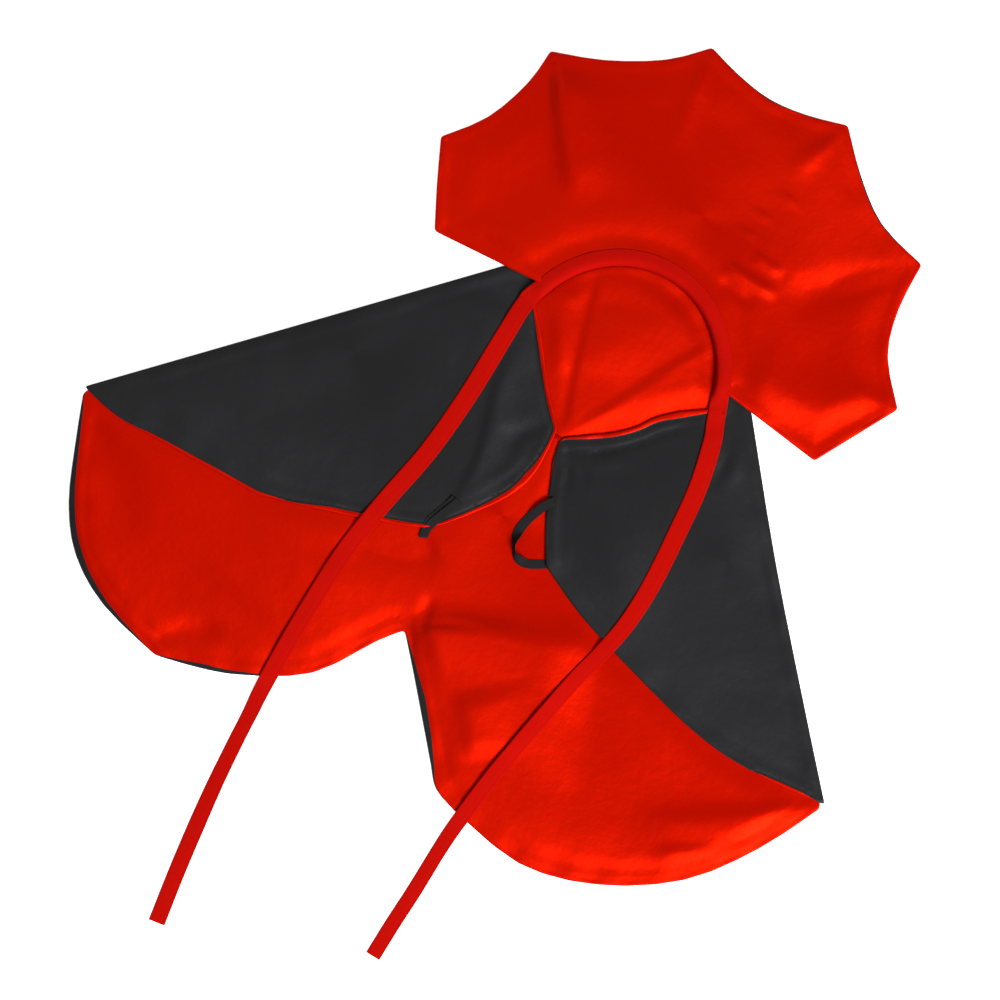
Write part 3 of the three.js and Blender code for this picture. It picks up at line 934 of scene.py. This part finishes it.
def right_loop():
    """The right loop starts on the front, bends on its own edge over the lining, and ends under it."""

    def on_edge(share):
        return 74 * smoothstep(0.4, 0.6, share) * (1 - smoothstep(0.62, 0.8, share))

    def ground(flat, shares, height):
        onto_lining = smoothstep(0.14, 0.32, shares)
        start = highest(flat, (back, right))
        return height * onto_lining + start.max() * (1 - onto_lining)

    obj, path, _ = laid_ribbon(
        "right_loop",
        RIGHT_LOOP,
        RIGHT_LOOP_WIDTHS,
        LOOP_THICK,
        BLACK_RIBBON,
        on_edge,
        panels=(back,),
        ground=ground,
        step=1.0,
    )
    declare_cord(obj, None, "right_loop")
    # Its two ends stay on the front; it is not attached to a body. The hinge's middle and axis are found,
    # with a level millimetre outwards from the axis, and the loop is baked where it lies.
    hinge = next(joint for joint in frame["joints"] if joint["name"] == "right_loop_flip")
    middle, axis = Vector(hinge["pos_m"]), Vector(hinge["axis"])
    outwards = axis.cross(Vector((0, 0, 1))).normalized() * MM
    if outwards.x > 0:
        outwards.negate()
    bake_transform(obj)


def left_loop():
    """The left loop, pressed flat on the front, with its fold past the hem."""
    rise = LOOP_THICK + 0.15  # the upper leg lies on the lower one
    route = np.array(LEFT_LOOP)
    flat = route[:, :2] / MM
    ground = highest(flat, (back, left))
    tip = np.argmin(flat[:, 1])
    ground[tip - 2 : tip + 3] = ground[tip - 2 : tip + 3].max()
    points = np.column_stack([flat, ground + LOOP_THICK / 2 + LAID_GAP / 2 + rise * route[:, 2]])
    path = respaced(catmull(points, 8), LOOP_SAMPLES)
    along = unit(np.gradient(path, axis=0))
    across = np.array((0.86, 0.5, 0.0))  # the ribbon's width, much the same on both legs
    sides = unit(across - (along @ across)[:, None] * along)
    sections = [ribbon_section(LOOP_WIDTH, LOOP_THICK)] * len(path)
    obj = strip("left_loop", path, sides, np.cross(along, sides), sections, BLACK_RIBBON)
    declare_cord(obj, "loop_left", "left_loop")


right_loop()
left_loop()

# ---------------- the cloth pieces


def place_cloth(obj, node):
    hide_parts(node)
    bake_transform(obj)


lining, outer = back.cloths("back_lining", RED_SATIN, "back_outer", BLACK_SATIN)
place_cloth(outer, "back_outer")
place_cloth(lining, "back_lining")

for panel, side in ((left, "left"), (right, "right")):
    outer_name, lining_name = f"{side}_front_outer", f"{side}_front_lining"
    outer, lining = panel.cloths(outer_name, BLACK_SATIN, lining_name, RED_SATIN)
    place_cloth(outer, outer_name)
    place_cloth(lining, lining_name)

face, reverse = collar.cloths("collar_face", RED_SATIN, "collar_back", BLACK_SATIN)
place_cloth(face, "collar_face")
place_cloth(reverse, "collar_back")


CORE_INSET, CORE_HALF_THICK, CORE_SPACING = 2.0, 0.12, 3.5


def collar_core():
    """The stiff interlining, closed inside the collar."""
    loop = softened_loop(collar_outline.loop + collar_outline.inward * CORE_INSET, 2)[::3]
    inner = Outline(loop, soften=1.0)
    points, faces = triangulated(inner, np.zeros(len(inner.loop)), CORE_SPACING)
    depth, index = collar_outline.locate(points)
    under, top = collar_heights(points, np.maximum(depth, 0), index)
    middle = (under + top) / 2
    count = len(points)
    heights = (middle + CORE_HALF_THICK, middle - CORE_HALF_THICK)
    both = np.vstack([np.column_stack([points, z]) for z in heights])
    directed = {(a, b) for f in faces for a, b in zip(f, np.roll(f, -1))}
    walls = [(b, a, a + count, b + count) for a, b in directed if (b, a) not in directed]
    shell = [tuple(f) for f in faces] + [tuple(f[::-1] + count) for f in faces] + walls
    obj = new_mesh("collar_interlining", both, shell, WHITE_FELT)
    place_cloth(obj, "collar_interlining")


collar_core()


NECK_ARC_END = 0.36  # radians from the ellipse's level axis to each end of the tape's arc
TAPE_SAMPLES = 170
TAPE_GAP = 0.4  # between the tape and the collar under it
TAPE_ROUNDING = 1.2  # how far the tape's inner half bends down before its edge turns down


def neck_tape():
    """The binding tape over the neck seam, from tie to tie: a soft band whose inner edge turns down."""
    angles = np.linspace(math.pi - NECK_ARC_END, NECK_ARC_END, 150)
    directions = np.column_stack([np.cos(angles), np.sin(angles)])
    arc = NECK_CENTRE + directions * (NECK_RADII + TAPE_WIDTH / 2)
    # the tape overlaps the first 4 mm of each tie
    knots = np.vstack([left_path[2::-2, :2], arc[::6], right_path[:3:2, :2]])
    flat = respaced(catmull(knots, 10), TAPE_SAMPLES)
    sides = level_sides(flat)
    collar_top = np.zeros(len(flat))
    for share in (0.1, 0.25, 0.4, 0.5):
        under = flat + sides[:, :2] * TAPE_WIDTH * share
        depth, index = collar_outline.locate(under)
        collar_top = np.maximum(collar_top, collar_heights(under, np.maximum(depth, 0), index)[1])
    run = lengths_along(flat)
    from_end = np.minimum(run, run[-1] - run)
    climb = smoothstep(4.0, 13.0, from_end)
    low = np.where(run < run[-1] / 2, left_path[1][2], right_path[1][2]) + TIE_THICK / 2
    height = moving_mean(low * (1 - climb) + (collar_top + TAPE_GAP) * climb, 3)
    path = np.column_stack([flat, height])
    # the inner edge reaches down to just above the lining
    seam = flat - sides[:, :2] * TAPE_WIDTH / 2
    drop = height - highest(seam, (back, left, right)) - TAPE_GAP
    turn_down = moving_mean(np.maximum(drop, 1.8), 3)
    # near its ends the tape turns into line with the ties
    met = smoothstep(3, 9, from_end)[:, None]
    tie_sides = np.where(run[:, None] < run[-1] / 2, -left_sides[0], right_sides[0])
    sides = unit(sides * met + tie_sides * (1 - met))
    ahead = np.column_stack([sides[:, 1], -sides[:, 0], 0 * run])
    along = unit(np.gradient(path, axis=0) * met + ahead * (1 - met))
    ups = np.cross(along, sides)
    width = TAPE_WIDTH + 0.6 * (1 - climb)
    sections = []
    for share, grown, w, drop in zip(climb, smoothstep(0, 8, from_end), width, turn_down):
        thick = TIE_THICK * (0.1 + 0.9 * grown)
        section = ribbon_section(w, thick, stitched=0.3 * TIE_THICK * (1 - share))
        # from -1 at the inner edge to 1 at the outer edge, which thins out on to the collar
        place = section[:, 0] / (w / 2)
        section[:, 1] -= share * TAPE_ROUNDING * np.clip((-place - 0.1) / 0.9, 0, 1) ** 1.6
        section[:, 1] -= share * (drop - TAPE_ROUNDING) * np.clip((-place - 0.6) / 0.4, 0, 1) ** 2
        section[:, 1] *= 1 - 0.75 * share * np.clip((place - 0.1) / 0.9, 0, 1)
        section[:, 1] -= 0.45 * share * np.clip(place, 0, 1)
        sections.append(section)
    obj = strip("neck_tape", path, sides, ups, sections, RED_TAPE)
    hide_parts("neck_tape")
    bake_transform(obj)


neck_tape()


def closure_tack():
    """A bar of thread that holds the two front edges together at the gather."""
    low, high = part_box("closure_tack")
    middle = (low + high) / 2 / MM
    wraps, end_gap, thread_radius = 7, 0.4, 0.22
    half_width, half_height = 1.0, 0.45
    turns = np.linspace(0, wraps * math.tau, wraps * 14)
    x = np.linspace(low.x / MM + end_gap, high.x / MM - end_gap, len(turns))
    y = middle.y + half_width * np.cos(turns)
    path = np.column_stack([x, y, middle.z + half_height * np.sin(turns)])
    along = unit(np.gradient(path, axis=0))
    sides = unit(np.cross(along, np.array((1.0, 0.0, 0.0))))
    ring = np.linspace(0, math.tau, 7)[:-1]
    section = np.column_stack([np.cos(ring), np.sin(ring)]) * thread_radius
    sections = [section] * len(path)
    obj = strip("closure_tack", path, sides, np.cross(along, sides), sections, RED_THREAD)
    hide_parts("closure_tack")
    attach(obj, "cape")


closure_tack()

# ---------------- floor and light

FLOOR_HALF = 4000.0
LAMP_AIM = Vector((-0.02, -0.12, 0))  # metres


def floor():
    nodes = Nodes("paper")
    grain = nodes.add("ShaderNodeTexNoise", Scale=300.0, Detail=2.0)
    nodes.join(nodes.coords, "Object", grain, "Vector")
    mixed_colour(nodes, (0.93, 0.93, 0.93, 1), (0.95, 0.95, 0.95, 1), grain, "Fac")
    nodes.set(Roughness=0.9, Emission_Color=(1, 1, 1, 1), Emission_Strength=0.75)
    corners = [(x * FLOOR_HALF, y * FLOOR_HALF, 0) for x, y in ((-1, -1), (1, -1), (1, 1), (-1, 1))]
    obj = new_mesh("floor", corners, [(0, 1, 2, 3)], nodes.material)


def lamp(name, direction, tilt, distance, size, watts):
    """A round softbox, tilted by degrees from straight above.

    It is towards a direction in the picture, in degrees anticlockwise from the right.
    """
    a = math.radians(direction) + VIEW_TURN
    t = math.radians(tilt)
    data = bpy.data.lights.new(name, "AREA")
    data.shape = "DISK"
    data.size = size
    data.energy = watts
    obj = bpy.data.objects.new(name, data)
    bpy.context.scene.collection.objects.link(obj)
    away = Vector((math.cos(a) * math.sin(t), math.sin(a) * math.sin(t), math.cos(t)))
    obj.location = LAMP_AIM + away * distance
    obj.rotation_mode = "QUATERNION"
    obj.rotation_quaternion = away.to_track_quat("Z", "Y")


def world(strength):
    data = bpy.data.worlds.new("world")
    data.use_nodes = True
    background = data.node_tree.nodes["Background"]
    background.inputs["Color"].default_value = (1, 1, 1, 1)
    background.inputs["Strength"].default_value = strength
    bpy.context.scene.world = data


floor()
lamp("key", direction=-50, tilt=46, distance=3.0, size=1.5, watts=174)
lamp("fill", direction=120, tilt=35, distance=2.0, size=1.2, watts=5)
world(strength=0.28)
bpy.context.scene.view_settings.view_transform = "Standard"
